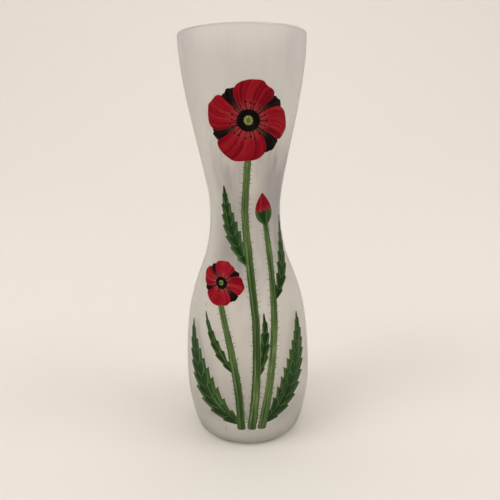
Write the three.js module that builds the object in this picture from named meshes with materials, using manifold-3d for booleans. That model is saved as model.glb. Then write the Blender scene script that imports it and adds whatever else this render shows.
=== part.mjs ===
// Painted vase of frosted glass.
//
// The glass is one blown piece: a standing ring round a shallow hollow under the foot, a thick
// base, a full belly, a narrow waist and a flared neck with a melted, round rim. It is etched
// matt all over. A spray of poppies in opaque enamel is painted on the front. Each patch of one
// colour is a film of its own that lies on the glass, or on the film under it.
//
// Millimetres, +Z up. The origin is the middle of the foot, and the painted front faces -Y.

import * as THREE from 'three'
import Module from 'manifold-3d'

const wasm = await Module()
wasm.setup()

// Glass: heights are measured from the surface that the vase stands on.
const HEIGHT = 250
const RIM_RADIUS = 37.5
const WAIST_RADIUS = 22
const WAIST_HEIGHT = 148
const BELLY_RADIUS = 40.8
const BELLY_HEIGHT = 36
const RING_RADIUS = 29.6
const HEEL_RADIUS = 6
const WALL = 3
const BASE_THICKNESS = 12
const HOLLOW_RADIUS = 22
const HOLLOW_DEPTH = 1.2
const HOLLOW_BEVEL = 2

// Shape of the curves between those levels, as shares of the rise that each curve covers.
const HEEL_SWEEP = THREE.MathUtils.degToRad(60)
const HEEL_ABOVE = 0.162
const BELLY_BELOW = 0.27
const BELLY_ABOVE = 0.7
const WAIST_BELOW = 0.4
const WAIST_ABOVE = 0.21
const RIM_BELOW = 0.34
const BOWL_SIDE = 0.85
const BOWL_FLOOR = 0.6

// Enamel films
const FILM = 0.25
const GAP = 0.3

// The spray: it spreads over a band of the height, and to each side of the middle of the front.
const FOOT_MARGIN = 14
const RIM_MARGIN = 26
const SPRAY_REACH = 40
const STEM_BASE_WIDTH = 5.4
const STEM_TOP_WIDTH = 3.8
const STEM_SPACING = 0.8
const UPPER_BLOOM_RADIUS = 25.5
const LOWER_BLOOM_RADIUS = 15
const BUD_LENGTH = 20
const BUD_WIDTH = 10.5
const BUD_CUP_LENGTH = 9.5
const LOW_LEAF_LENGTH = 76
const LOW_LEAF_WIDTH = 20
const HIGH_LEAF_LENGTH = 52
const HIGH_LEAF_WIDTH = 10.5
const INNER_LEAF_LENGTH = 42
const INNER_LEAF_WIDTH = 6.8
const RIB_WIDTH = 1.3
const POINT_WIDTH = 0.5

// Shape of leaves, bud and blooms, as shares of their own sizes
const LEAF_SLANT = 0.6
const LEAF_NOTCH = 0.3
const BLOOM_SQUASH = 0.9
const PETAL_LEAN = 0.1
const PETAL_CORNER = 0.1
const PETAL_RUFFLE = 0.015
const SHADE_SHARE = 0.28
const SHADE_AT_HEART = 0.3
const SHADE_REACH = 0.9
const HEART_SHARE = 0.26
const PISTIL_SHARE = 0.42
const SPOT_FLAT = 0.06

// Powers that shape an outline. Below 1, a leaf or bud is widest nearer to its foot than to its
// tip, and a petal is blunter.
const LEAF_POWER = 0.75
const BUD_POWER = 0.8
const PETAL_POWER = 0.6

// Fineness of the glass
const TURNS = 56
const HEEL_STEPS = 3
const BELLY_STEPS = 4
const CURVE_STEPS = 11
const INNER_STEPS = 8
const LIP_STEPS = 6

// Fineness of the films, as steps along and columns across
const STEM_STEPS = 30
const STEM_COLUMNS = 2
const LEAF_BENDS = 6
const LEAF_CELL = 3.5
const BUD_STEPS = 6
const BUD_COLUMNS = 3
const SLICE_STEPS = 6
const PETAL_COLUMNS = 7
const SHADE_COLUMNS = 2
const SPOT_STEPS = 8
const SPOT_COLUMNS = 4

// Glass body

// The outside of the wall from the standing ring up to where the round lip starts.
function outerSide() {
  const heel = []
  for (let i = 0; i <= HEEL_STEPS; i++) {
    const sweep = (HEEL_SWEEP * i) / HEEL_STEPS
    heel.push(new THREE.Vector2(
      RING_RADIUS + HEEL_RADIUS * Math.sin(sweep),
      HEEL_RADIUS - HEEL_RADIUS * Math.cos(sweep)
    ))
  }
  const start = heel[heel.length - 1]
  const lip = HEIGHT - WALL / 2
  const lowRise = BELLY_HEIGHT - start.y
  const midRise = WAIST_HEIGHT - BELLY_HEIGHT
  const topRise = lip - WAIST_HEIGHT
  const leave = new THREE.Vector2(Math.cos(HEEL_SWEEP), Math.sin(HEEL_SWEEP))
  const toBelly = new THREE.CubicBezierCurve(
    start,
    start.clone().addScaledVector(leave, HEEL_ABOVE * lowRise),
    new THREE.Vector2(BELLY_RADIUS, BELLY_HEIGHT - BELLY_BELOW * lowRise),
    new THREE.Vector2(BELLY_RADIUS, BELLY_HEIGHT)
  )
  const toWaist = new THREE.CubicBezierCurve(
    new THREE.Vector2(BELLY_RADIUS, BELLY_HEIGHT),
    new THREE.Vector2(BELLY_RADIUS, BELLY_HEIGHT + BELLY_ABOVE * midRise),
    new THREE.Vector2(WAIST_RADIUS, WAIST_HEIGHT - WAIST_BELOW * midRise),
    new THREE.Vector2(WAIST_RADIUS, WAIST_HEIGHT)
  )
  const toRim = new THREE.CubicBezierCurve(
    new THREE.Vector2(WAIST_RADIUS, WAIST_HEIGHT),
    new THREE.Vector2(WAIST_RADIUS, WAIST_HEIGHT + WAIST_ABOVE * topRise),
    new THREE.Vector2(RIM_RADIUS, lip - RIM_BELOW * topRise),
    new THREE.Vector2(RIM_RADIUS, lip)
  )
  return {
    heel,
    belly: toBelly.getPoints(BELLY_STEPS).slice(1),
    waist: toWaist.getPoints(CURVE_STEPS).slice(1),
    neck: toRim.getPoints(CURVE_STEPS).slice(1),
    curves: [toRim, toWaist]
  }
}

// The inside of the wall, one wall thickness in from the outside, from the lip down to the belly.
function innerSide(curves) {
  const points = []
  for (const curve of curves) {
    for (let i = 0; i < INNER_STEPS; i++) {
      const t = 1 - i / INNER_STEPS
      const along = curve.getTangent(t)
      const inward = new THREE.Vector2(-along.y, along.x)
      points.push(curve.getPoint(t).addScaledVector(inward, WALL))
    }
  }
  return points
}

// The round lip over the wall, from the outside to the inside.
function lipPoints() {
  const radius = WALL / 2
  const points = []
  for (let i = 1; i < LIP_STEPS; i++) {
    const turn = (Math.PI * i) / LIP_STEPS
    points.push(new THREE.Vector2(
      RIM_RADIUS - radius + radius * Math.cos(turn),
      HEIGHT - radius + radius * Math.sin(turn)
    ))
  }
  return points
}

// The inside of the belly, which rounds off to the middle of the thick base.
function bowlPoints() {
  const radius = BELLY_RADIUS - WALL
  const fall = BELLY_HEIGHT - BASE_THICKNESS
  const bowl = new THREE.CubicBezierCurve(
    new THREE.Vector2(radius, BELLY_HEIGHT),
    new THREE.Vector2(radius, BELLY_HEIGHT - BOWL_SIDE * fall),
    new THREE.Vector2(BOWL_FLOOR * radius, BASE_THICKNESS),
    new THREE.Vector2(0, BASE_THICKNESS)
  )
  return bowl.getPoints(INNER_STEPS)
}

const outer = outerSide()
const outline = [...outer.heel, ...outer.belly, ...outer.waist, ...outer.neck]

function glassBody() {
  const underFoot = [
    new THREE.Vector2(0, HOLLOW_DEPTH),
    new THREE.Vector2(HOLLOW_RADIUS - HOLLOW_BEVEL, HOLLOW_DEPTH),
    new THREE.Vector2(HOLLOW_RADIUS, 0)
  ]
  const inside = innerSide(outer.curves)
  const profile = [...underFoot, ...outline, ...lipPoints(), ...inside, ...bowlPoints()]
  const geometry = new THREE.LatheGeometry(profile, TURNS)
  geometry.rotateX(Math.PI / 2)
  return geometry
}

// Places on the glass

// Outer radius of the glass at a height, read along the same straight steps as the mesh has.
function radiusAt(height) {
  for (let i = 1; i < outline.length; i++) {
    const low = outline[i - 1]
    const high = outline[i]
    if (height <= high.y) {
      const t = (height - low.y) / (high.y - low.y)
      return THREE.MathUtils.lerp(low.x, high.x, t)
    }
  }
  return RIM_RADIUS
}

// A point that stands off the glass by lift. Across is measured round the glass from the middle
// of the front, so a shape keeps its size wherever it is painted.
function onGlass(across, height, lift) {
  const radius = radiusAt(height)
  const turn = across / radius
  return [(radius + lift) * Math.sin(turn), -(radius + lift) * Math.cos(turn), height]
}

// Height of a point of the design, from 0 at its foot to 1 at its top.
function level(share) {
  return THREE.MathUtils.lerp(FOOT_MARGIN, HEIGHT - RIM_MARGIN, share)
}

// Enamel films

// A closed sheet over a grid of [across, height] points, between two distances off the glass.
function sheet(rows, low, high) {
  const columns = rows[0].length
  const perSide = rows.length * columns
  const positions = []
  for (const lift of [low, high]) {
    for (const row of rows) {
      for (const [across, height] of row) positions.push(...onGlass(across, height, lift))
    }
  }
  const faces = []
  const quad = (a, b, c, d) => faces.push(a, b, c, a, c, d)
  const at = (i, j) => i * columns + j
  const last = rows.length - 1
  const end = columns - 1
  for (let i = 0; i < last; i++) {
    for (let j = 0; j < end; j++) {
      const corners = [at(i, j), at(i, j + 1), at(i + 1, j + 1), at(i + 1, j)]
      quad(...corners.map((corner) => corner + perSide))
      quad(...corners.toReversed())
    }
    quad(at(i + 1, 0), at(i, 0), at(i, 0) + perSide, at(i + 1, 0) + perSide)
    quad(at(i, end), at(i + 1, end), at(i + 1, end) + perSide, at(i, end) + perSide)
  }
  for (let j = 0; j < end; j++) {
    quad(at(0, j), at(0, j + 1), at(0, j + 1) + perSide, at(0, j) + perSide)
    quad(at(last, j + 1), at(last, j), at(last, j) + perSide, at(last, j + 1) + perSide)
  }
  const geometry = new THREE.BufferGeometry()
  geometry.setAttribute('position', new THREE.Float32BufferAttribute(positions, 3))
  geometry.setIndex(faces)
  return geometry
}

// A film of layer 0 lies on the glass, and one of layer 1 on the films of layer 0.
function film(rows, layer = 0) {
  const low = GAP + layer * (FILM + GAP)
  return sheet(rows, low, low + FILM)
}

// The same mesh as a solid that another can be cut from.
function solid(geometry) {
  return new wasm.Manifold(new wasm.Mesh({
    numProp: 3,
    vertProperties: new Float32Array(geometry.getAttribute('position').array),
    triVerts: new Uint32Array(geometry.index.array)
  }))
}

// What is left of a film on its own side of a stroke that is painted over its edge.
function cutBy(geometry, rows) {
  const knife = sheet(rows, GAP / 2, GAP + FILM + GAP / 2)
  const sides = solid(geometry).subtract(solid(knife)).decompose()
  const mesh = sides.toSorted((a, b) => b.volume() - a.volume())[0].getMesh()
  const left = new THREE.BufferGeometry()
  left.setAttribute('position', new THREE.Float32BufferAttribute(mesh.vertProperties, 3))
  left.setIndex(Array.from(mesh.triVerts))
  return left
}

// Rows of points, with u from 0 to 1 over the rows and v from 0 to 1 along each row.
function grid(rowSteps, columnSteps, pointAt) {
  const rows = []
  for (let i = 0; i <= rowSteps; i++) {
    const row = []
    for (let j = 0; j <= columnSteps; j++) row.push(pointAt(i / rowSteps, j / columnSteps))
    rows.push(row)
  }
  return rows
}

// A stroke along a curve. halfWidth gives half the width at u, and slant carries the edges
// forward, as side veins run.
function stroke(spine, rowSteps, columnSteps, halfWidth, slant = 0) {
  return grid(rowSteps, columnSteps, (u, v) => {
    const middle = spine.getPoint(u)
    const along = spine.getTangent(u)
    const out = (2 * v - 1) * halfWidth(u)
    const ahead = slant * Math.abs(out)
    return [middle.x + along.y * out + along.x * ahead, middle.y - along.x * out + along.y * ahead]
  })
}

function stemStroke(spine, margin = 0) {
  const halfWidth = (u) => THREE.MathUtils.lerp(STEM_BASE_WIDTH, STEM_TOP_WIDTH, u) / 2
  return stroke(spine, STEM_STEPS, STEM_COLUMNS, (u) => halfWidth(u) + margin)
}

// Half the width of a leaf that is widest below its middle and runs out to a point.
function leafHalf(width, u) {
  return POINT_WIDTH / 2 + (width / 2) * Math.sin(Math.PI * u ** LEAF_POWER)
}

// A leaf starts under the middle of its stem. The stems' strokes cut it off at their edges.
function leaf(spine, width, teeth) {
  const steps = 2 * teeth
  const halfWidth = (u) => {
    const notch = Math.round(u * steps) % 2 ? LEAF_NOTCH : 0
    return leafHalf(width, u) * (1 - notch)
  }
  const columns = 2 * Math.ceil(width / (2 * LEAF_CELL))
  const blade = film(stroke(spine, steps, columns, halfWidth, LEAF_SLANT))
  return Object.values(stems).reduce((left, over) => cutBy(left, stemStroke(over, GAP)), blade)
}

// The dark middle vein, from the first tooth to the last.
function rib(spine, teeth) {
  const halfWidth = (u) => THREE.MathUtils.lerp(RIB_WIDTH, POINT_WIDTH, u) / 2
  return film(stroke(spine, 2 * teeth, 1, halfWidth).slice(2, -2), 1)
}

// A bud carries on from the end of its stem. A film covers it between two distances from there.
function bud(stemSpine, from, to) {
  const foot = stemSpine.getPoint(1)
  const along = stemSpine.getTangent(1)
  return film(grid(BUD_STEPS, BUD_COLUMNS, (u, v) => {
    const reach = THREE.MathUtils.lerp(from, to, u)
    const swell = Math.sin(Math.PI * (reach / BUD_LENGTH) ** BUD_POWER)
    const out = (2 * v - 1) * (POINT_WIDTH + (BUD_WIDTH / 2) * Math.abs(swell))
    return [foot.x + along.x * reach + along.y * out, foot.y + along.y * reach - along.x * out]
  }))
}

// A round patch in the middle of a bloom, cut flat at its foot and its top.
function spot(bloom, radius, layer) {
  return film(grid(SPOT_STEPS, SPOT_COLUMNS, (u, v) => {
    const turn = Math.PI * THREE.MathUtils.lerp(SPOT_FLAT, 1 - SPOT_FLAT, u)
    const out = (2 * v - 1) * radius * Math.sin(turn)
    return [bloom.across + out, bloom.height - BLOOM_SQUASH * radius * Math.cos(turn)]
  }), layer)
}

// One slice of a bloom, from the heart out to the edge, between two bearings in degrees. Both
// bearings change with far, which runs from 0 at the heart to 1 at the bloom's radius. The slices
// lean round the heart, and each keeps half a gap to what is beside it.
function slice(bloom, start, end, reach, columns) {
  const inner = bloom.radius * HEART_SHARE + GAP
  return film(grid(SLICE_STEPS, columns, (u, v) => {
    const ruffle = PETAL_RUFFLE * Math.sin(5 * Math.PI * v)
    const corner = PETAL_CORNER * (1 - Math.sin(Math.PI * v) ** PETAL_POWER)
    const swell = 1 - corner + ruffle
    const out = THREE.MathUtils.lerp(inner, bloom.radius * reach * swell, u)
    const far = (out - inner) / (bloom.radius - inner)
    const trim = (v - 0.5) * (GAP / out)
    const lean = PETAL_LEAN * Math.sin(Math.PI * far)
    const edges = THREE.MathUtils.lerp(end(far), start(far), v)
    const bearing = THREE.MathUtils.degToRad(edges) + trim + lean
    return [
      bloom.across + out * Math.cos(bearing),
      bloom.height + BLOOM_SQUASH * out * Math.sin(bearing)
    ]
  }))
}

// A petal fills its bearings but for the dark shade that is painted down its far side.
function shadeStart({ from, to }) {
  return (far) => to - (to - from) * SHADE_SHARE * THREE.MathUtils.lerp(SHADE_AT_HEART, 1, far)
}

function petal(bloom, shape) {
  return slice(bloom, () => shape.from, shadeStart(shape), shape.reach, PETAL_COLUMNS)
}

function petalShade(bloom, shape) {
  return slice(
    bloom, shadeStart(shape), () => shape.to, shape.reach * SHADE_REACH, SHADE_COLUMNS
  )
}

// Colours and finish
const finishes = {
  glass: { color: 0xc8c8c4, roughness: 0.55, metalness: 0 },
  red: { color: 0xa3141c, roughness: 0.4, metalness: 0 },
  black: { color: 0x17130f, roughness: 0.35, metalness: 0 },
  stemGreen: { color: 0x5d7c3c, roughness: 0.42, metalness: 0 },
  leafGreen: { color: 0x2f5a2c, roughness: 0.42, metalness: 0 },
  darkGreen: { color: 0x16301a, roughness: 0.4, metalness: 0 },
  limeGreen: { color: 0x9aa84c, roughness: 0.42, metalness: 0 }
}

const vase = new THREE.Group()

function add(name, geometry, finish) {
  geometry.computeVertexNormals()
  const mesh = new THREE.Mesh(geometry, new THREE.MeshStandardMaterial(finishes[finish]))
  mesh.name = name
  vase.add(mesh)
}

// The spray of poppies

const petals = {
  front: { from: 208, to: 322, reach: 1 },
  right: { from: 322, to: 398, reach: 0.97 },
  back: { from: 38, to: 130, reach: 0.94 },
  left: { from: 130, to: 208, reach: 0.97 }
}

// A bloom's foot is the place just under its front petal, where its stem ends.
function bloomAt(across, height, radius) {
  const drop = BLOOM_SQUASH * radius * petals.front.reach * (1 + PETAL_RUFFLE)
  return { across, height, radius, foot: height - drop - GAP }
}

// The lower bloom keeps to the left of the tall stem.
const blooms = {
  upper: bloomAt(
    0.075 * SPRAY_REACH, level(1) - UPPER_BLOOM_RADIUS * BLOOM_SQUASH, UPPER_BLOOM_RADIUS
  ),
  lower: bloomAt(-0.0125 * SPRAY_REACH - LOWER_BLOOM_RADIUS, level(0.443), LOWER_BLOOM_RADIUS)
}

// A point of the design, as shares of its reach to the right and of its height.
function place(side, share) {
  return new THREE.Vector2(side * SPRAY_REACH, level(share))
}

function stemFoot(order) {
  return place(0.045, 0).add(new THREE.Vector2(order * (STEM_BASE_WIDTH + STEM_SPACING), 0))
}

// The three stems start side by side. Each is named after what it carries.
const stems = {
  upper: new THREE.SplineCurve([
    stemFoot(0), place(0.125, 0.15), place(0.14, 0.32), place(0.055, 0.5), place(0, 0.64),
    new THREE.Vector2(blooms.upper.across * 0.7, blooms.upper.foot)
  ]),
  lower: new THREE.SplineCurve([
    stemFoot(-1), place(-0.14, 0.12), place(-0.24, 0.25),
    new THREE.Vector2(blooms.lower.across, blooms.lower.foot)
  ]),
  bud: new THREE.SplineCurve([
    stemFoot(1), place(0.34, 0.15), place(0.425, 0.32), place(0.4, 0.48), place(0.325, 0.6)
  ])
}

// A leaf leaves its stem at a share of the stem's length, from one bearing off the upright, in
// degrees, and turns steadily to another.
const leaves = {
  low_left: { stem: 'lower', at: 0.08, from: -60, to: 0, size: 'low', teeth: 10 },
  low_right: { stem: 'bud', at: 0.05, from: 52, to: -8, size: 'low', teeth: 11 },
  inner_left: { stem: 'lower', at: 0.5, from: -44, to: -14, size: 'inner', teeth: 6 },
  inner_right: { stem: 'upper', at: 0.22, from: 22, to: -8, size: 'inner', teeth: 6 },
  high_left: { stem: 'upper', at: 0.58, from: -34, to: 0, size: 'high', teeth: 8 },
  high_right: { stem: 'bud', at: 0.6, from: 34, to: -12, size: 'high', teeth: 8 }
}

const leafSizes = {
  low: { length: LOW_LEAF_LENGTH, width: LOW_LEAF_WIDTH },
  high: { length: HIGH_LEAF_LENGTH, width: HIGH_LEAF_WIDTH },
  inner: { length: INNER_LEAF_LENGTH, width: INNER_LEAF_WIDTH }
}

// The middle of a leaf: equal steps, each a little further round than the last.
function leafSpine(root, length, from, to) {
  const points = [root]
  for (let i = 0; i < LEAF_BENDS; i++) {
    const share = (i + 0.5) / LEAF_BENDS
    const bearing = THREE.MathUtils.degToRad(THREE.MathUtils.lerp(from, to, share))
    const step = new THREE.Vector2(Math.sin(bearing), Math.cos(bearing))
    points.push(points[i].clone().addScaledVector(step, length / LEAF_BENDS))
  }
  return new THREE.SplineCurve(points)
}

add('glass_body', glassBody(), 'glass')

for (const [name, bloom] of Object.entries(blooms)) {
  for (const [way, shape] of Object.entries(petals)) {
    add(`${name}_petal_${way}`, petal(bloom, shape), 'red')
    add(`${name}_shade_${way}`, petalShade(bloom, shape), 'black')
  }
  const heart = bloom.radius * HEART_SHARE
  add(`${name}_heart`, spot(bloom, heart, 0), 'black')
  add(`${name}_pistil`, spot(bloom, heart * PISTIL_SHARE, 1), 'limeGreen')
}

for (const [name, spine] of Object.entries(stems)) {
  add(`stem_${name}`, film(stemStroke(spine)), 'stemGreen')
}

add('bud_cup', bud(stems.bud, GAP, BUD_CUP_LENGTH), 'leafGreen')
add('bud_petals', bud(stems.bud, BUD_CUP_LENGTH + GAP, BUD_LENGTH), 'red')

for (const [name, { stem, at, from, to, size, teeth }] of Object.entries(leaves)) {
  const { length, width } = leafSizes[size]
  const spine = leafSpine(stems[stem].getPoint(at), length, from, to)
  add(`leaf_${name}`, leaf(spine, width, teeth), 'leafGreen')
  add(`rib_${name}`, rib(spine, teeth), 'darkGreen')
}

export default vase
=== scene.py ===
# %% [markdown]
# # A painted vase of frosted glass
#
# The real object is one blown piece of glass, etched matt all over, with a spray of poppies in
# opaque enamel on its front. Blender works in metres here, +Z is up, and the painted front
# faces -Y.
#
# The CAD model is loaded first, as a frame that fixes every size and place. The glass and the
# paint are then modelled again with fine meshes, and each new piece takes the place of its CAD
# node.

# %% Load the frame
import bisect
import itertools
import math
import random

import bpy
from mathutils import Matrix, Vector, noise
from mathutils.geometry import interpolate_bezier


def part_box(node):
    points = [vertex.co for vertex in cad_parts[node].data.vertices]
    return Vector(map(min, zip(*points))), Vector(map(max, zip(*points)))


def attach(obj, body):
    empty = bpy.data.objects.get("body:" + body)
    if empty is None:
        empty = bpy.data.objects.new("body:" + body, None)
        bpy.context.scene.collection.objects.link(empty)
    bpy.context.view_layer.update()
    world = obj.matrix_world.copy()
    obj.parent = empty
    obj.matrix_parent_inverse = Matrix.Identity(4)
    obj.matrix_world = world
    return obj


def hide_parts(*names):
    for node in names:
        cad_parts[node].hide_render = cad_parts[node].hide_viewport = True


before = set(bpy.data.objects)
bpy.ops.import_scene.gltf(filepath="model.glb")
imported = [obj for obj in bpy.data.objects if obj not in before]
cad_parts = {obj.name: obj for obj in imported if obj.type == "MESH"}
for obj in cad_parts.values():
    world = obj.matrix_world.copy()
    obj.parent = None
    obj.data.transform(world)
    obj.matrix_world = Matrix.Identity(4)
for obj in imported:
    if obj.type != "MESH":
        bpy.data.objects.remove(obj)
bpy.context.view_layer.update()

MM = 0.001
glass_low, glass_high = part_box("glass_body")
print("CAD nodes:", len(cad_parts), " height in mm:", round(glass_high.z / MM, 1))

# %% [markdown]
# ## The outline of the glass
#
# A blown vase is a turned shape, so one half outline says all of it. A Bezier curve suits it:
# each level where the wall stands upright, such as the belly, the waist and the rim, is one
# point, and the length of its handles says how full the glass stays there. A polygon would need
# many more points, and none of them would mean anything.

# %% Sizes of the glass
HEIGHT = glass_high.z
BELLY_RADIUS = glass_high.x
BELLY_HEIGHT = 36 * MM
WAIST_RADIUS = 22 * MM
WAIST_HEIGHT = 148 * MM
RIM_RADIUS = 37.5 * MM
WALL = 3 * MM
BASE_THICKNESS = 12 * MM
RING_RADIUS = 29.6 * MM
HEEL_RADIUS = 6 * MM
HEEL_SWEEP = math.radians(60)
HOLLOW_RADIUS = 22 * MM
HOLLOW_DEPTH = 1.2 * MM
HOLLOW_BEVEL = 2 * MM

# Length of the handles, as shares of the rise that each curve covers
HEEL_ABOVE = 0.162
BELLY_BELOW = 0.27
BELLY_ABOVE = 0.7
WAIST_BELOW = 0.4
WAIST_ABOVE = 0.21
RIM_BELOW = 0.34
BOWL_SIDE = 0.85
BOWL_FLOOR = 0.6
QUARTER_TURN = 0.5523    # handle of a quarter circle, as a share of its radius


# %% Points of the outline
def knot(radius, height, before=(0, 0), after=(0, 0)):
    """A point of an outline with its two handles, which are given as steps away from it."""
    at = Vector((radius, 0, height))
    return at + Vector((before[0], 0, before[1])), at, at + Vector((after[0], 0, after[1]))


heel_end = Vector((
    RING_RADIUS + HEEL_RADIUS * math.sin(HEEL_SWEEP), 0,
    HEEL_RADIUS - HEEL_RADIUS * math.cos(HEEL_SWEEP),
))
heel_way = Vector((math.cos(HEEL_SWEEP), math.sin(HEEL_SWEEP)))
heel_handle = 4 / 3 * math.tan(HEEL_SWEEP / 4) * HEEL_RADIUS
lip_radius = WALL / 2
lip_handle = QUARTER_TURN * lip_radius
lip_start = HEIGHT - lip_radius
low_rise = BELLY_HEIGHT - heel_end.z
mid_rise = WAIST_HEIGHT - BELLY_HEIGHT
top_rise = lip_start - WAIST_HEIGHT
bowl_fall = BELLY_HEIGHT - BASE_THICKNESS

hollow_knots = [
    knot(0, HOLLOW_DEPTH, after=(HOLLOW_RADIUS / 3, 0)),
    knot(HOLLOW_RADIUS - HOLLOW_BEVEL, HOLLOW_DEPTH, (-HOLLOW_RADIUS / 3, 0), (HOLLOW_BEVEL / 2, 0)),
    knot(HOLLOW_RADIUS, 0, (-HOLLOW_BEVEL / 2, 0), (HOLLOW_BEVEL, 0)),
]
outer_knots = [
    knot(RING_RADIUS, 0, (-HOLLOW_BEVEL, 0), (heel_handle, 0)),
    knot(heel_end.x, heel_end.z, -heel_handle * heel_way, HEEL_ABOVE * low_rise * heel_way),
    knot(BELLY_RADIUS, BELLY_HEIGHT, (0, -BELLY_BELOW * low_rise), (0, BELLY_ABOVE * mid_rise)),
    knot(WAIST_RADIUS, WAIST_HEIGHT, (0, -WAIST_BELOW * mid_rise), (0, WAIST_ABOVE * top_rise)),
    knot(RIM_RADIUS, lip_start, (0, -RIM_BELOW * top_rise), (0, lip_handle)),
]
inner_knots = [
    knot(RIM_RADIUS - lip_radius, HEIGHT, (lip_handle, 0), (-lip_handle, 0)),
    knot(RIM_RADIUS - WALL, lip_start, (0, lip_handle), (0, -RIM_BELOW * top_rise)),
    knot(WAIST_RADIUS - WALL, WAIST_HEIGHT, (0, WAIST_ABOVE * top_rise), (0, -WAIST_BELOW * mid_rise)),
    knot(BELLY_RADIUS - WALL, BELLY_HEIGHT, (0, BELLY_ABOVE * mid_rise), (0, -BOWL_SIDE * bowl_fall)),
    knot(0, BASE_THICKNESS, (BOWL_FLOOR * (BELLY_RADIUS - WALL), 0)),
]
print("outline:", len(hollow_knots + outer_knots + inner_knots), "points")

# %% [markdown]
# ## The glass
#
# The outline is drawn as a curve, made a mesh, and spun once round the axis, as a lathe would
# turn it. The doubled points at the seam and on the axis are merged, so that the glass is one
# closed wall of true thickness. Light bends at both faces of such a wall, and the thick base
# shows in it, which a single sheet with a fake thickness can't give.

# %% Spin an outline
CURVE_STEPS = 24


def deselect():
    if bpy.context.object and bpy.context.object.mode != "OBJECT":
        bpy.ops.object.mode_set(mode="OBJECT")
    bpy.ops.object.select_all(action="DESELECT")


def spin_outline(name, knots, turns, inside=False):
    """A turned shape. Its faces point away from the solid, or to the axis for a backdrop."""
    deselect()
    bpy.ops.curve.primitive_bezier_curve_add(radius=1, location=(0, 0, 0))
    shape = bpy.context.object
    shape.name = name
    shape.data.dimensions = "3D"
    shape.data.resolution_u = CURVE_STEPS
    points = shape.data.splines[0].bezier_points
    points.add(len(knots) - len(points))
    for point, (before, at, after) in zip(points, knots):
        point.handle_left_type = point.handle_right_type = "FREE"
        point.co = at
        point.handle_left = before
        point.handle_right = after
    bpy.ops.object.convert(target="MESH")
    bpy.ops.object.mode_set(mode="EDIT")
    bpy.ops.mesh.select_all(action="SELECT")
    bpy.ops.mesh.spin(steps=turns, angle=2 * math.pi, center=(0, 0, 0), axis=(0, 0, 1))
    bpy.ops.mesh.select_all(action="SELECT")
    bpy.ops.mesh.remove_doubles(threshold=0.001 * MM)
    bpy.ops.mesh.normals_make_consistent(inside=inside)
    bpy.ops.object.mode_set(mode="OBJECT")
    bpy.ops.object.shade_smooth()
    return shape


# %% Spin the glass
GLASS_TURNS = 144

glass = spin_outline("glass", hollow_knots + outer_knots + inner_knots, GLASS_TURNS)
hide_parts("glass_body")
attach(glass, "root")
print("glass:", len(glass.data.polygons), "faces")

# %% [markdown]
# ## Places on the glass
#
# The painter works on a curved surface but thinks of a flat picture. The paint is planned the
# same way here: every place is so far across, measured round the glass from the middle of the
# front, and so high. One function rolls such a place onto the glass, so a bloom keeps its shape
# on the narrow waist and on the wide belly alike. The CAD films were placed by the same rule.

# %% Roll a place onto the glass
outer_line = []
for (_, start, leave), (arrive, end, _) in zip(outer_knots, outer_knots[1:]):
    outer_line += interpolate_bezier(start, leave, arrive, end, CURVE_STEPS + 1)[:-1]
outer_line.append(outer_knots[-1][1])
line_heights = [point.z for point in outer_line]


def radius_at(height):
    """Outer radius of the glass at a height, read along the same steps as the mesh has."""
    above = min(max(bisect.bisect(line_heights, height), 1), len(outer_line) - 1)
    low, high = outer_line[above - 1], outer_line[above]
    share = (height - low.z) / (high.z - low.z)
    return low.x + (high.x - low.x) * share


def on_glass(across, height, lift):
    radius = radius_at(height)
    turn = across / radius
    return Vector((
        (radius + lift) * math.sin(turn),
        -(radius + lift) * math.cos(turn),
        height,
    ))


print("radius of the waist in mm:", round(radius_at(WAIST_HEIGHT) / MM, 2))


# %% The painter's hand
WAVER = 0.28 * MM        # how far a hand-painted line strays from the plan
WAVER_LENGTH = 5 * MM    # how soon it comes back
HAND_SEED = 7            # unseeded, this noise would differ from run to run

noise.seed_set(HAND_SEED)


def by_hand(across, height):
    """The same place as a hand that isn't quite steady would put it."""
    at = Vector((across / WAVER_LENGTH, height / WAVER_LENGTH, 0))
    shift = noise.noise_vector(at) * WAVER
    return across + shift.x, height + shift.y


# %% [markdown]
# ## A film of enamel
#
# Enamel is laid on with a brush, so it has a thickness: it is thin at its edge, and the hairs
# of the brush leave fine ridges along each stroke. A grid is a good start for such a film,
# because its two directions can follow the brush. Its points are rolled onto the glass in code,
# as no operator bends a sheet round a waist and a belly at once. Solidify then gives it its
# body, and a vertex group thins it at the edge and in the ridges.
#
# Two UV maps go with each film. One runs from 0 to 1 along and across it, for changes of colour
# from end to end. The other is in millimetres, so that the marks of the brush have one size on
# every film.

# %% Lay a film on the glass
FILM = 0.16 * MM         # thickness of one coat in the middle of a stroke
SUNK = 0.04 * MM         # the coat bites so deep into the etched surface
COAT_RISE = 0.05 * MM    # a coat over another lies this much higher
EDGE = 0.7 * MM          # width of the edge over which a coat thins out
EDGE_SHARE = 0.35        # what is left of its thickness there
RIDGE_SHARE = 0.3        # how much of its thickness the ridges take
RIDGE = 0.9 * MM         # how far apart they are
RIDGE_LENGTH = 16 * MM   # how far one ridge runs

paint_order = 0


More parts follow.
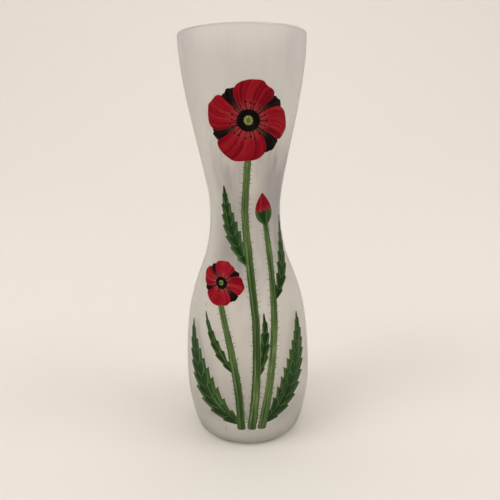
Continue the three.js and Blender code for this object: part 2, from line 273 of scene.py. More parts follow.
def lay(name, rows, columns, place, length, width, coat):
    """One patch of paint. place(u, v) gives across and height, u along the stroke from 0 to 1."""
    global paint_order
    paint_order += 1
    deselect()
    bpy.ops.mesh.primitive_grid_add(
        x_subdivisions=columns, y_subdivisions=rows, size=1, calc_uvs=True, location=(0, 0, 0)
    )
    patch = bpy.context.object
    patch.name = name
    mesh = patch.data
    shares = [(point.co.y + 0.5, point.co.x + 0.5) for point in mesh.vertices]

    stroke_map = mesh.uv_layers[0]
    stroke_map.name = "stroke"
    brush_map = mesh.uv_layers.new(name="brush")
    for loop in mesh.loops:
        u, v = shares[loop.vertex_index]
        stroke_map.data[loop.index].uv = (v, u)
        brush_map.data[loop.index].uv = (v * width / MM, u * length / MM + 61 * paint_order)

    group = patch.vertex_groups.new(name="body")
    for point, (u, v) in zip(mesh.vertices, shares):
        across, height = by_hand(*place(u, v))
        point.co = on_glass(across, height, coat * COAT_RISE - SUNK)
        to_edge = min(min(u, 1 - u) * length, min(v, 1 - v) * width)
        body = min(1, EDGE_SHARE + (1 - EDGE_SHARE) * to_edge / EDGE)
        ridge = noise.noise(Vector((v * width / RIDGE, u * length / RIDGE_LENGTH, paint_order)))
        body *= 1 - RIDGE_SHARE * (0.5 - 0.5 * ridge)
        group.add([point.index], body, "REPLACE")
    return patch


def join(patches, name):
    """Joins patches into one piece, or keeps the one that there is."""
    deselect()
    for patch in patches:
        patch.select_set(True)
    bpy.context.view_layer.objects.active = patches[0]
    if len(patches) > 1:
        bpy.ops.object.join()
    piece = bpy.context.object
    piece.name = name
    return piece


def coat_piece(piece, material, node=None):
    """Gives a laid piece its body and its finish, and ties it to the frame."""
    deselect()
    piece.select_set(True)
    bpy.context.view_layer.objects.active = piece
    body = piece.modifiers.new("body", "SOLIDIFY")
    body.thickness = FILM
    body.offset = 1
    body.vertex_group = "body"
    bpy.ops.object.modifier_apply(modifier="body")
    bpy.ops.object.shade_smooth_by_angle(angle=math.radians(50))
    piece.data.materials.clear()
    piece.data.materials.append(material)
    if node:
        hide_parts(node)
    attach(piece, "root")
    return piece

# %% [markdown]
# ## Paint and glass as materials
#
# Two effects come back in several finishes, so each is a node group, built once. The first
# gives the marks of a brush: long streaks that follow the stroke, in the millimetres of the
# film's own map. The second gives the grain of a matt surface, and patterns of faint clouds,
# smears and specks, from the place on the object. The glass uses the clouds and smears mostly
# as masks for painted shade.

# %% Helpers for nodes
def put(tree, socket, value):
    if isinstance(value, bpy.types.NodeSocket):
        tree.links.new(value, socket)
    else:
        socket.default_value = value


def add_node(tree, kind, inputs=None, **settings):
    node = tree.nodes.new(kind)
    for name, value in settings.items():
        setattr(node, name, value)
    for name, value in (inputs or {}).items():
        put(tree, node.inputs[name], value)
    return node


def maths(tree, operation, first, second=0.0):
    return add_node(tree, "ShaderNodeMath", {0: first, 1: second}, operation=operation).outputs[0]


def spread(tree, value, low, high, to_low=0.0, to_high=1.0):
    """Maps low..high to to_low..to_high with soft ends."""
    node = add_node(tree, "ShaderNodeMapRange", interpolation_type="SMOOTHSTEP")
    for place, each in enumerate([value, low, high, to_low, to_high]):
        put(tree, node.inputs[place], each)
    return node.outputs[0]


def blend_colour(tree, share, first, second):
    node = add_node(tree, "ShaderNodeMix", data_type="RGBA")
    put(tree, node.inputs[0], share)
    put(tree, node.inputs[6], first)
    put(tree, node.inputs[7], second)
    return node.outputs[2]


def new_group(name, inputs, outputs):
    tree = bpy.data.node_groups.new(name, "ShaderNodeTree")
    for title, value in inputs.items():
        socket = tree.interface.new_socket(title, in_out="INPUT", socket_type="NodeSocketFloat")
        socket.default_value = value
    for title in outputs:
        tree.interface.new_socket(title, in_out="OUTPUT", socket_type="NodeSocketFloat")
    return tree, tree.nodes.new("NodeGroupInput"), tree.nodes.new("NodeGroupOutput")


# %% Marks of the brush
brush_group, given, out = new_group(
    "brush_marks",
    {"Streaks per mm": 0.6, "Stretch": 20, "Seed": 0},
    ["Marks", "Patches", "Ridges"],
)
brush_uv = add_node(brush_group, "ShaderNodeUVMap", uv_map="brush").outputs[0]
parts = add_node(brush_group, "ShaderNodeSeparateXYZ", {0: brush_uv})
per_mm = given.outputs["Streaks per mm"]
streaks_along = maths(brush_group, "DIVIDE", per_mm, given.outputs["Stretch"])
flow = add_node(brush_group, "ShaderNodeCombineXYZ", {
    "X": maths(brush_group, "MULTIPLY", parts.outputs["X"], per_mm),
    "Y": maths(brush_group, "MULTIPLY", parts.outputs["Y"], streaks_along),
    "Z": given.outputs["Seed"],
}).outputs[0]
streaks = add_node(brush_group, "ShaderNodeTexNoise", {
    "Vector": flow, "Scale": 1, "Detail": 4, "Roughness": 0.55,
}).outputs["Fac"]
fine = add_node(brush_group, "ShaderNodeTexNoise", {
    "Vector": flow, "Scale": 4.5, "Detail": 2, "Roughness": 0.6,
}).outputs["Fac"]
patches = add_node(brush_group, "ShaderNodeTexNoise", {
    "Vector": brush_uv, "Scale": 0.11, "Detail": 2,
}).outputs["Fac"]
put(brush_group, out.inputs["Marks"], spread(brush_group, streaks, 0.34, 0.66))
put(brush_group, out.inputs["Patches"], spread(brush_group, patches, 0.35, 0.65))
fine_ridges = maths(brush_group, "MULTIPLY", fine, 0.6)
broad_ridges = maths(brush_group, "MULTIPLY", streaks, 0.4)
put(brush_group, out.inputs["Ridges"], maths(brush_group, "ADD", fine_ridges, broad_ridges))
print("brush marks:", len(brush_group.nodes), "nodes")

# %% Grain of a matt surface
grain_group, given, out = new_group(
    "etched_grain",
    {"Grain per mm": 5, "Cloud size in mm": 22, "Smear size in mm": 4, "Speck size in mm": 13},
    ["Clouds", "Smears", "Specks", "Height"],
)
position = add_node(grain_group, "ShaderNodeTexCoord").outputs["Object"]
millimetres = add_node(
    grain_group, "ShaderNodeVectorMath", {0: position, 1: (1000, 1000, 1000)}, operation="MULTIPLY"
).outputs[0]
upright = add_node(
    grain_group, "ShaderNodeVectorMath", {0: millimetres, 1: (1, 1, 0.32)}, operation="MULTIPLY"
).outputs[0]
cloud_scale = maths(grain_group, "DIVIDE", 1.0, given.outputs["Cloud size in mm"])
clouds = add_node(grain_group, "ShaderNodeTexNoise", {
    "Vector": upright, "Scale": cloud_scale, "Detail": 3, "Roughness": 0.5,
}).outputs["Fac"]
smear_scale = maths(grain_group, "DIVIDE", 1.0, given.outputs["Smear size in mm"])
drawn_out = add_node(
    grain_group, "ShaderNodeVectorMath", {0: millimetres, 1: (1, 1, 0.11)}, operation="MULTIPLY"
).outputs[0]
smears = add_node(grain_group, "ShaderNodeTexNoise", {
    "Vector": drawn_out, "Scale": smear_scale, "Detail": 3, "Roughness": 0.45,
}).outputs["Fac"]
smears = maths(grain_group, "MULTIPLY", spread(grain_group, smears, 0.22, 0.78),
               spread(grain_group, clouds, 0.32, 0.6, 0.35, 1.0))
speck_scale = maths(grain_group, "DIVIDE", 1.0, given.outputs["Speck size in mm"])
specks = add_node(grain_group, "ShaderNodeTexVoronoi", {
    "Vector": upright, "Scale": speck_scale, "Randomness": 1,
}, feature="F1").outputs["Distance"]
grain = add_node(grain_group, "ShaderNodeTexNoise", {
    "Vector": millimetres, "Scale": given.outputs["Grain per mm"], "Detail": 2,
}).outputs["Fac"]
put(grain_group, out.inputs["Clouds"], spread(grain_group, clouds, 0.3, 0.7))
put(grain_group, out.inputs["Smears"], smears)
put(grain_group, out.inputs["Specks"], spread(grain_group, specks, 0.03, 0.09, 1, 0))
put(grain_group, out.inputs["Height"], grain)
print("grain:", len(grain_group.nodes), "nodes")


# %% A material with its Principled shader
def new_material(name):
    material = bpy.data.materials.new(name)
    material.use_nodes = True
    return material, material.node_tree, material.node_tree.nodes["Principled BSDF"]


def add_bump(tree, bsdf, height, distance, strength):
    bump = add_node(tree, "ShaderNodeBump", {
        "Height": height, "Distance": distance, "Strength": strength,
    })
    put(tree, bsdf.inputs["Normal"], bump.outputs[0])


# %% [markdown]
# ## Frosted glass
#
# The etching leaves the outside full of tiny pits. Light still goes through, but every ray
# leaves in another direction, so nothing behind can be made out. A high roughness on a
# transmitting surface does this. The pits also send some light straight back, which makes the
# glass milky: that is the share that isn't transmitted. The inside was never etched, so it is
# smooth, and an attribute on the points tells the shader which side it is on. At the waist the
# colour is painted darker in faint streaks that run up and down, strongest towards the front
# right: painted shade for the dim inside seen through the wall. Away from the waist the same
# streaks are only a faint uneven tone. Here and there the frost has a small dark speck, and
# towards the rim its colour is painted darker and cooler, as painted shade of the dim mouth.

# %% Tell the inside from the outside
inside = glass.data.attributes.new("inside", "FLOAT", "POINT")
for point in glass.data.vertices:
    reach = math.hypot(point.co.x, point.co.y)
    beneath = point.co.z < BASE_THICKNESS - WALL
    deep = radius_at(min(point.co.z, lip_start)) - reach > WALL / 2
    inside.data[point.index].value = 1.0 if deep and not beneath else 0.0
print("points on the inside:", sum(point.value > 0.5 for point in inside.data))

# %% Glass material
FROST = (0.955, 0.93, 0.885, 1)
# Painted shade: the frost turns to this darker, cooler colour towards the mouth
FROST_MOUTH_SHADE = (0.895, 0.875, 0.86, 1)
# Painted shade on the neck, in streaks, and a faint uneven tone elsewhere
FROST_SMEAR_AND_SHADE = (0.38, 0.355, 0.38, 1)
SPECK = (0.45, 0.42, 0.41, 1)
NECK_SHADE_LOW, NECK_SHADE_HIGH = (85, 130), (165, 215)    # heights in mm over which the painted shade of the neck fades in and out
MOUTH_SHADE_LOW, MOUTH_SHADE_HIGH = 185, 245                 # heights in mm over which the frost is painted darker and cooler, as shade
SHADED_SIDE = (0.42, -0.9, 0)                      # the painted shade of the neck is strongest towards this side, the front right
SIDE_SHADE_FADE = 20 * MM                              # and fades in over so much of the way to it
BACK_SHARE = 0.15                                # what is left of it on the other side
SMEAR_SHARE = (0.15, 0.95)                       # strength of the smears off the neck, a faint uneven tone, and on it, painted shade
HAZE_SHARE = (0.07, 0.8)                         # the same for the clouds
SPECK_SHARE = 0.5
MATT, SMOOTH = 0.52, 0.16                        # roughness of the outside and of the inside

glass_paint, tree, bsdf = new_material("frosted_glass")
etched = add_node(tree, "ShaderNodeGroup", node_tree=grain_group)
position = add_node(tree, "ShaderNodeTexCoord").outputs["Object"]
height = add_node(tree, "ShaderNodeSeparateXYZ", {0: position}).outputs["Z"]
height_mm = maths(tree, "MULTIPLY", height, 1000)
# Painted shade at the neck: darker in a band of heights, strongest towards the front right
neck = maths(tree, "MULTIPLY", spread(tree, height_mm, *NECK_SHADE_LOW),
             spread(tree, height_mm, *NECK_SHADE_HIGH, 1, 0))
to_side = add_node(
    tree, "ShaderNodeVectorMath", {0: position, 1: SHADED_SIDE}, operation="DOT_PRODUCT"
).outputs["Value"]
neck = maths(tree, "MULTIPLY", neck, spread(tree, to_side, 0, SIDE_SHADE_FADE, BACK_SHARE, 1))
# The smears and clouds darken the frost a little everywhere, as an uneven tone, and much more on the
# neck as painted shade
smears = maths(tree, "MULTIPLY", etched.outputs["Smears"], spread(tree, neck, 0, 1, *SMEAR_SHARE))
haze = maths(tree, "MULTIPLY", etched.outputs["Clouds"], spread(tree, neck, 0, 1, *HAZE_SHARE))
smears_and_painted_shade = maths(tree, "MAXIMUM", smears, haze)
# Painted shade: the frost turns darker and cooler towards the mouth
frost = blend_colour(tree, spread(tree, height_mm, MOUTH_SHADE_LOW, MOUTH_SHADE_HIGH), FROST, FROST_MOUTH_SHADE)
frost = blend_colour(tree, smears_and_painted_shade, frost, FROST_SMEAR_AND_SHADE)
specks = maths(tree, "MULTIPLY", etched.outputs["Specks"], SPECK_SHARE)
frost = blend_colour(tree, specks, frost, SPECK)
put(tree, bsdf.inputs["Base Color"], frost)
is_inside = add_node(tree, "ShaderNodeAttribute", attribute_name="inside").outputs["Fac"]
put(tree, bsdf.inputs["Roughness"], spread(tree, is_inside, 0, 1, MATT, SMOOTH))
bsdf.inputs["IOR"].default_value = 1.5
bsdf.inputs["Transmission Weight"].default_value = 0.78
add_bump(tree, bsdf, etched.outputs["Height"], 0.02 * MM, 0.25)
glass.data.materials.append(glass_paint)
print("frosted glass:", len(tree.nodes), "nodes")

# %% [markdown]
# ## Enamel
#
# Enamel is opaque and has a soft gloss. Where the brush pressed, or the colour wasn't quite
# mixed, it is lighter or darker in streaks, and it thins out at the edge. Every colour is the
# same shader with its own three shades, from the deepest to the lightest.

# %% Enamel material
ENAMEL_GLOSS = 0.05
DEEP_SHARE = 0.8         # how far the darkest streaks go to the deepest shade
BRUSH_SEED = 1.7
SECOND_STRETCH = 20      # length of a second brush's streaks, as a multiple of their width


def enamel(name, deep, middle, light, streaks, stretch, light_share=0.6, roughness=0.36):
    """A colour of enamel. Returns the material and the parts that a finish may add to."""
    material, tree, bsdf = new_material(name)
    marks = add_node(tree, "ShaderNodeGroup", {
        "Streaks per mm": streaks, "Stretch": stretch, "Seed": BRUSH_SEED,
    }, node_tree=brush_group)
    streak = marks.outputs["Marks"]
    patch = marks.outputs["Patches"]
    dark_share = maths(tree, "MULTIPLY", spread(tree, streak, 0.0, 0.55, 1, 0), DEEP_SHARE)
    bright_share = maths(tree, "MULTIPLY", spread(tree, streak, 0.55, 1.0), light_share)
    bright_share = maths(tree, "MULTIPLY", bright_share, spread(tree, patch, 0, 1, 0.35, 1.0))
    colour = blend_colour(tree, dark_share, (*middle, 1), (*deep, 1))
    colour = blend_colour(tree, bright_share, colour, (*light, 1))
    put(tree, bsdf.inputs["Base Color"], colour)
    put(tree, bsdf.inputs["Roughness"],
        spread(tree, marks.outputs["Ridges"], 0.3, 0.7, roughness + 0.08, roughness - 0.04))
    bsdf.inputs["Specular IOR Level"].default_value = ENAMEL_GLOSS
    add_bump(tree, bsdf, marks.outputs["Ridges"], 0.03 * MM, 0.5)
    return material, tree, bsdf, colour


def streaks_of(tree, per_mm, seed):
    """The marks of a second brush, to lay another colour over the first."""
    return add_node(tree, "ShaderNodeGroup", {
        "Streaks per mm": per_mm, "Stretch": SECOND_STRETCH, "Seed": seed,
    }, node_tree=brush_group).outputs["Marks"]


def stroke_share(tree, way, low, high, to_low, to_high):
    """A share that changes along the stroke (way Y) or across it (way X)."""
    uv = add_node(tree, "ShaderNodeUVMap", uv_map="stroke").outputs[0]
    value = add_node(tree, "ShaderNodeSeparateXYZ", {0: uv}).outputs[way]
    return spread(tree, value, low, high, to_low, to_high)


# %% Red and black
RED_DEEP = (0.125, 0.001, 0.006)
RED = (0.262, 0.003, 0.012)
RED_LIGHT = (0.355, 0.026, 0.030)
RED_PALE = (0.440, 0.090, 0.085)
BLACK_DEEP = (0.002, 0.001, 0.001)
BLACK = (0.004, 0.002, 0.002)
BLACK_LIGHT = (0.022, 0.014, 0.010)
BLACK_THIN = (0.105, 0.060, 0.030)

red, tree, bsdf, colour = enamel("red_enamel", RED_DEEP, RED, RED_LIGHT, 0.5, 26)
root = stroke_share(tree, "Y", 0.05, 0.45, 1.0, 0.0)
pale = maths(tree, "MULTIPLY", root, maths(tree, "MULTIPLY", streaks_of(tree, 0.9, 5.1), 0.55))
put(tree, bsdf.inputs["Base Color"], blend_colour(tree, pale, colour, (*RED_PALE, 1)))

black = enamel("black_enamel", BLACK_DEEP, BLACK, BLACK_LIGHT, 0.8, 14)[0]

shade_black, tree, bsdf, colour = enamel("shade_enamel", BLACK_DEEP, BLACK, BLACK_LIGHT, 1.1, 14)
root = stroke_share(tree, "Y", 0.02, 0.6, 1.0, 0.0)
thin = maths(tree, "MULTIPLY", root, spread(tree, streaks_of(tree, 1.1, 2.3), 0, 1, 0.35, 1.0))
put(tree, bsdf.inputs["Base Color"], blend_colour(tree, thin, colour, (*BLACK_THIN, 1)))

# %% Greens and lime
LEAF_EDGE = (0.066, 0.122, 0.036)

leaf_green, tree, bsdf, colour = enamel(
    "leaf_green_enamel", (0.004, 0.016, 0.004), (0.018, 0.052, 0.014), (0.090, 0.160, 0.046), 0.42, 30,
    light_share=0.95,
)
rim = maths(tree, "MAXIMUM", stroke_share(tree, "X", 0.0, 0.22, 0.6, 0.0),
            stroke_share(tree, "X", 0.78, 1.0, 0.0, 0.6))
put(tree, bsdf.inputs["Base Color"], blend_colour(tree, rim, colour, (*LEAF_EDGE, 1)))

stem_green = enamel(
    "stem_green_enamel", (0.018, 0.044, 0.012), (0.068, 0.118, 0.036), (0.205, 0.265, 0.110), 0.9, 30,
    light_share=0.8,
)[0]
vein_green = enamel(
    "vein_enamel", (0.050, 0.095, 0.026), (0.095, 0.150, 0.044), (0.170, 0.220, 0.080), 1.5, 20
)[0]
dark_green = enamel(
    "dark_green_enamel", (0.004, 0.010, 0.004), (0.008, 0.022, 0.007), (0.018, 0.044, 0.014), 1.5, 30
)[0]
lime = enamel(
    "lime_enamel", (0.17, 0.22, 0.05), (0.30, 0.35, 0.09), (0.48, 0.50, 0.18), 0.9, 4
)[0]
print("materials:", len(bpy.data.materials))

# %% [markdown]
# ## The spray
#
# The picture is planned flat: where the stems stand, how each petal spreads round the heart, and
# how the leaves turn away. The plan is the one that the CAD films follow, so each film lies
# where its node lies, and only its fineness is new.

# %% Sizes of the spray
FOOT_MARGIN = 14 * MM
RIM_MARGIN = 26 * MM
SPRAY_REACH = 40 * MM
STEM_BASE_WIDTH = 5.4 * MM
STEM_TOP_WIDTH = 3.8 * MM
STEM_SPACING = 0.8 * MM
UPPER_BLOOM_RADIUS = 25.5 * MM
LOWER_BLOOM_RADIUS = 15 * MM
BUD_LENGTH = 20 * MM
BUD_WIDTH = 10.5 * MM
BUD_CUP_LENGTH = 9.5 * MM
RIB_WIDTH = 1.3 * MM
POINT_WIDTH = 0.5 * MM
LEAF_SLANT = 0.6
LEAF_NOTCH = 0.3
BLOOM_SQUASH = 0.9
PETAL_LEAN = 0.1
PETAL_RUFFLE = 0.015
SHADE_SHARE = 0.28
SHADE_REACH = 0.9
HEART_SHARE = 0.26
PISTIL_SHARE = 0.42


def mix(first, second, share):
    return first + (second - first) * share


def level(share):
    """Height of a point of the design, from 0 at its foot to 1 at its top."""
    return mix(FOOT_MARGIN, HEIGHT - RIM_MARGIN, share)


def place_at(side, share):
    return Vector((side * SPRAY_REACH, level(share)))


# %% Smooth lines through chosen points
LINE_STEPS = 16          # steps between two chosen points


def smooth_line(chosen):
    """Points of a smooth line through the chosen ones, each handle a sixth of its neighbours."""
    ends = [chosen[0], *chosen, chosen[-1]]
    line = []
    for before, start, end, after in zip(ends, ends[1:], ends[2:], ends[3:]):
        leave = start + (end - before) / 6
        arrive = end - (after - start) / 6
        line += interpolate_bezier(start, leave, arrive, end, LINE_STEPS + 1)[:-1]
    return [*line, chosen[-1]]


def point_on(line, share):
    at = share * (len(line) - 1)
    index = min(int(at), len(line) - 2)
    return line[index].lerp(line[index + 1], at - index)


def way_on(line, share):
    """Direction of the line there, one unit long."""
    near = 0.5 / (len(line) - 1)
    ahead = point_on(line, min(1, share + near))
    behind = point_on(line, max(0, share - near))
    return (ahead - behind).normalized()


def line_length(line):
    return sum((end - start).length for start, end in zip(line, line[1:]))


def beside(line, share, out, ahead=0.0):
    """The place that lies out to the right of the line, and ahead along it."""
    middle, way = point_on(line, share), way_on(line, share)
    return (
        middle.x + way.y * out + way.x * ahead,
        middle.y - way.x * out + way.y * ahead,
    )


# %% Blooms and stems
petals = {
    "front": {"from": 208, "to": 322, "reach": 1},
    "right": {"from": 322, "to": 398, "reach": 0.97},
    "back": {"from": 38, "to": 130, "reach": 0.94},
    "left": {"from": 130, "to": 208, "reach": 0.97},
}
GAP = 0.3 * MM


def bloom_at(across, height, radius):
    drop = BLOOM_SQUASH * radius * petals["front"]["reach"] * (1 + PETAL_RUFFLE)
    return {"across": across, "height": height, "radius": radius, "foot": height - drop - GAP}


blooms = {
    "upper": bloom_at(
        0.075 * SPRAY_REACH, level(1) - UPPER_BLOOM_RADIUS * BLOOM_SQUASH, UPPER_BLOOM_RADIUS
    ),
    "lower": bloom_at(-0.0125 * SPRAY_REACH - LOWER_BLOOM_RADIUS, level(0.443), LOWER_BLOOM_RADIUS),
}


def stem_foot(order):
    return place_at(0.045, 0) + Vector((order * (STEM_BASE_WIDTH + STEM_SPACING), 0))


upper, lower = blooms["upper"], blooms["lower"]
stems = {
    "upper": smooth_line([
        stem_foot(0), place_at(0.125, 0.15), place_at(0.14, 0.32), place_at(0.055, 0.5),
        place_at(0, 0.64), Vector((upper["across"] * 0.7, upper["foot"])),
    ]),
    "lower": smooth_line([
        stem_foot(-1), place_at(-0.14, 0.12), place_at(-0.24, 0.25),
        Vector((lower["across"], lower["foot"])),
    ]),
    "bud": smooth_line([
        stem_foot(1), place_at(0.34, 0.15), place_at(0.425, 0.32), place_at(0.4, 0.48),
        place_at(0.325, 0.6),
    ]),
}
print("stems in mm:", [round(line_length(line) / MM) for line in stems.values()])

# %% [markdown]
# ## Leaves
#
# A poppy's leaf is a long blade with teeth that point to its tip. The brush draws it in one
# stroke from the stem outwards. The blade is painted first and the stem over it, so the part of
# a blade that would come out on the far side of a stem is left off at the stem's middle.

# %% Shape of a leaf
leaf_sizes = {
    "low": {"length": 76 * MM, "width": 20 * MM},
    "high": {"length": 52 * MM, "width": 10.5 * MM},
    "inner": {"length": 42 * MM, "width": 6.8 * MM},
}
leaves = {
    "low_left": {"stem": "lower", "at": 0.08, "from": -60, "to": 0, "size": "low", "teeth": 10},
    "low_right": {"stem": "bud", "at": 0.05, "from": 52, "to": -8, "size": "low", "teeth": 11},
    "inner_left": {"stem": "lower", "at": 0.5, "from": -44, "to": -14, "size": "inner", "teeth": 6},
    "inner_right": {"stem": "upper", "at": 0.22, "from": 22, "to": -8, "size": "inner", "teeth": 6},
    "high_left": {"stem": "upper", "at": 0.58, "from": -34, "to": 0, "size": "high", "teeth": 8},
    "high_right": {"stem": "bud", "at": 0.6, "from": 34, "to": -12, "size": "high", "teeth": 8},
}
LEAF_BENDS = 6           # equal steps in which a leaf turns
LEAF_POWER = 0.75        # below 1, so that a leaf is widest below its middle
TOOTH_CUT = 0.16         # share of a tooth's length over which its tip is cut back
TOOTH_POWER = 0.8        # below 1, so that the long side of a tooth is a little hollow
ROWS_PER_TOOTH = 10
COLUMN_PAIR = 1.6 * MM   # a blade has two columns of faces for each such part of its width


def leaf_line(leaf):
    """The middle of a leaf, which turns steadily from one bearing off the upright to another."""
    points = [point_on(stems[leaf["stem"]], leaf["at"])]
    step = leaf_sizes[leaf["size"]]["length"] / LEAF_BENDS
    for bend in range(LEAF_BENDS):
        bearing = math.radians(mix(leaf["from"], leaf["to"], (bend + 0.5) / LEAF_BENDS))
        points.append(points[-1] + step * Vector((math.sin(bearing), math.cos(bearing))))
    return smooth_line(points)


def leaf_half(leaf, u):
    """Half the width of a leaf: widest below its middle, and toothed along its edge."""
    width = leaf_sizes[leaf["size"]]["width"]
    whole = POINT_WIDTH / 2 + width / 2 * math.sin(math.pi * u ** LEAF_POWER)
    along_tooth = u * leaf["teeth"] % 1
    if along_tooth < TOOTH_CUT:
        notch = along_tooth / TOOTH_CUT
    else:
        notch = ((1 - along_tooth) / (1 - TOOTH_CUT)) ** TOOTH_POWER
    return whole * (1 - LEAF_NOTCH * notch)


def leaf_place(leaf, line, u, v):
    out = (2 * v - 1) * leaf_half(leaf, u)
    return beside(line, u, out, LEAF_SLANT * abs(out))


def stem_middle(line, height):
    """How far across a stem's middle is at a height, or None above and below the stem."""
    for low, high in zip(line, line[1:]):
        if low.y <= height <= high.y:
            return mix(low.x, high.x, (height - low.y) / (high.y - low.y))
    return None


# %% Paint the leaves
LEAF_COAT = 0
ON_OWN_SIDE = (0.3, 0.6)    # places along a leaf that are surely on its own side of every stem


def far_side(line, across, height):
    """The middle of a stem that lies between this place and its leaf, or None."""
    for stem in stems.values():
        for share in ON_OWN_SIDE:
            reference = point_on(line, share)
            here = stem_middle(stem, height)
            there = stem_middle(stem, reference.y)
            if here is None or there is None:
                continue
            if (across - here) * (reference.x - there) < 0:
                return here
    return None


def delete_tucked(piece, tucked):
    """Deletes the faces whose corners are all tucked under a stem."""
    for point in piece.data.vertices:
        point.select = point.index in tucked
    for edge in piece.data.edges:
        edge.select = all(index in tucked for index in edge.vertices)
    for face in piece.data.polygons:
        face.select = all(index in tucked for index in face.vertices)
    bpy.ops.object.mode_set(mode="EDIT")
    bpy.ops.mesh.select_mode(type="FACE")
    bpy.ops.mesh.delete(type="FACE")
    bpy.ops.object.mode_set(mode="OBJECT")


for name, leaf in leaves.items():
    size = leaf_sizes[leaf["size"]]
    line = leaf_line(leaf)
    rows = leaf["teeth"] * ROWS_PER_TOOTH
    columns = 2 * math.ceil(size["width"] / COLUMN_PAIR)
    tucked = set()
    point_numbers = itertools.count()    # lay asks for each point once, in the mesh's order

    def leaf_film(u, v):
        number = next(point_numbers)
        across, height = leaf_place(leaf, line, u, v)
        cut = far_side(line, across, height)
        if cut is None:
            return across, height
        tucked.add(number)
        return cut, height

    blade = lay(
        f"leaf_{name}_paint", rows, columns, leaf_film, size["length"], size["width"], LEAF_COAT
    )
    delete_tucked(blade, tucked)
    coat_piece(blade, leaf_green, f"leaf_{name}")
    leaf["line"] = line
    print(f"leaf {name}:", len(blade.data.polygons), "faces")

# %% [markdown]
# ## Fine strokes
#
# Veins, hairs and stamens are drawn with the tip of a thin brush. Each is a short stroke that
# swells a little and runs out to a point. They are laid one by one, and those that belong
# together are joined into one piece.

# %% A stroke of the thin brush
OVER = 3                 # coats by which a thin stroke, which is low, clears the film that it is on
POINT_SHARE = 0.12       # the least share of its width that a stroke keeps at its point


def dash(start, end, width, coat, bow=0.0, blunt=0.35, rows=8, columns=2):
    """A thin stroke between two places. bow bends it to the right, blunt is its width at the start."""
    way = end - start
    right = Vector((way.y, -way.x))

    def spot(u, v):
        middle = start + way * u + right * (bow * math.sin(math.pi * u))
        swell = mix(blunt, 1, min(1, u * 3)) * (1 - u ** 2.2) ** 0.5
        out = right.normalized() * ((v - 0.5) * width * max(swell, POINT_SHARE))
        return tuple(middle + out)

    return lay("dash", rows, columns, spot, way.length, width, coat)


def fine_piece(name, dashes, material):
    return coat_piece(join(dashes, name), material)


# %% Ribs and side veins
VEIN_WIDTH = 0.5 * MM
VEIN_BACK = 0.75         # a vein leaves the rib this many teeth before the tooth that it runs to
VEIN_REACH = 0.8         # and ends at this share of the way to the leaf's edge
VEIN_BOW = 0.06
RIB_GRID = (60, 4)       # rows and columns of its grid
RIB_COAT = 1

for name, leaf in leaves.items():
    size, line, teeth = leaf_sizes[leaf["size"]], leaf["line"], leaf["teeth"]
    rib_from, rib_to = 0.7 / teeth, 1 - 1 / teeth

    def rib_place(u, v):
        share = mix(rib_from, rib_to, u)
        return beside(line, share, (v - 0.5) * mix(RIB_WIDTH, POINT_WIDTH, share))

    length = size["length"] * (rib_to - rib_from)
    rib = lay(f"rib_{name}_paint", *RIB_GRID, rib_place, length, RIB_WIDTH, RIB_COAT)
    coat_piece(rib, dark_green, f"rib_{name}")

    veins = []
    for tooth in range(2, teeth):
        for side in (-1, 1):
            start = Vector(beside(line, (tooth - VEIN_BACK) / teeth, side * RIB_WIDTH * 0.4))
            end = Vector(leaf_place(leaf, line, tooth / teeth, 0.5 + side * VEIN_REACH / 2))
            if far_side(line, *end) is None and far_side(line, *start) is None:
                veins.append(dash(start, end, VEIN_WIDTH, OVER, bow=VEIN_BOW * side, blunt=0.8))
    fine_piece(f"veins_{name}", veins, vein_green)
    print(f"leaf {name}:", len(veins), "side veins")

# %% Paint the stems
STEM_TUCK = 2.5 * MM     # a stem's upper end lies this far under what it carries
BRUSH_TIP = 0.25 * MM    # a stroke starts as far on as the tip of the brush is blunt
STEM_GRID = (160, 12)
STEM_COAT = 2


def rounded(u, length, radius):
    """Share of the width that is left near the round start of a stroke."""
    past = min(1, (u * length + BRUSH_TIP) / radius)
    return math.sqrt(1 - (1 - past) ** 2)


for name, line in stems.items():
    line = stems[name] = [*line, line[-1] + way_on(line, 1) * STEM_TUCK]
    length = line_length(line)

    def stem_place(u, v):
        width = mix(STEM_BASE_WIDTH, STEM_TOP_WIDTH, u) * rounded(u, length, STEM_BASE_WIDTH / 2)
        return beside(line, u, (v - 0.5) * width)

    stem = lay(
        f"stem_{name}_paint", *STEM_GRID, stem_place, length, STEM_BASE_WIDTH, STEM_COAT
    )
    coat_piece(stem, stem_green, f"stem_{name}")
    print(f"stem {name}:", round(length / MM), "mm long")

# %% Hairs of the stems
HAIR_SPACING = 2.6 * MM
HAIR_LENGTH = 2.2 * MM
HAIR_WIDTH = 0.24 * MM
HAIR_LEAN = math.radians(52)
HAIR_BOW = -0.12
HAIR_COAT = 1
chance = random.Random(11)

for name, line in stems.items():
    hairs = []
    count = int(line_length(line) / HAIR_SPACING)
    for step in range(3, count - 1):
        for side in (-1, 1):
            share = (step + chance.uniform(-0.5, 0.5)) / count
            half = mix(STEM_BASE_WIDTH, STEM_TOP_WIDTH, share) / 2
            lean = HAIR_LEAN + chance.uniform(-0.3, 0.3)
            reach = HAIR_LENGTH * chance.uniform(0.45, 1.15)
            start = Vector(beside(line, share, side * half * 0.8))
            end = Vector(beside(line, share, side * (half + reach * math.sin(lean)),
                                reach * math.cos(lean)))
            hairs.append(dash(
                start, end, HAIR_WIDTH, HAIR_COAT, bow=HAIR_BOW * side, blunt=1.0, rows=5, columns=1
            ))
    fine_piece(f"hairs_{name}", hairs, stem_green)
    print(f"stem {name}:", len(hairs), "hairs")

# %% Paint the bud
BUD_POWER = 0.8          # below 1, so that the bud is widest below its middle
BUD_GRID = (30, 20)
BUD_COAT = 2
CUP_GRID = (30, 36)
CUP_COAT = 3
CUP_LOBES = 3
bud_way = way_on(stems["bud"], 1)
bud_foot = stems["bud"][-1] - bud_way * STEM_TUCK


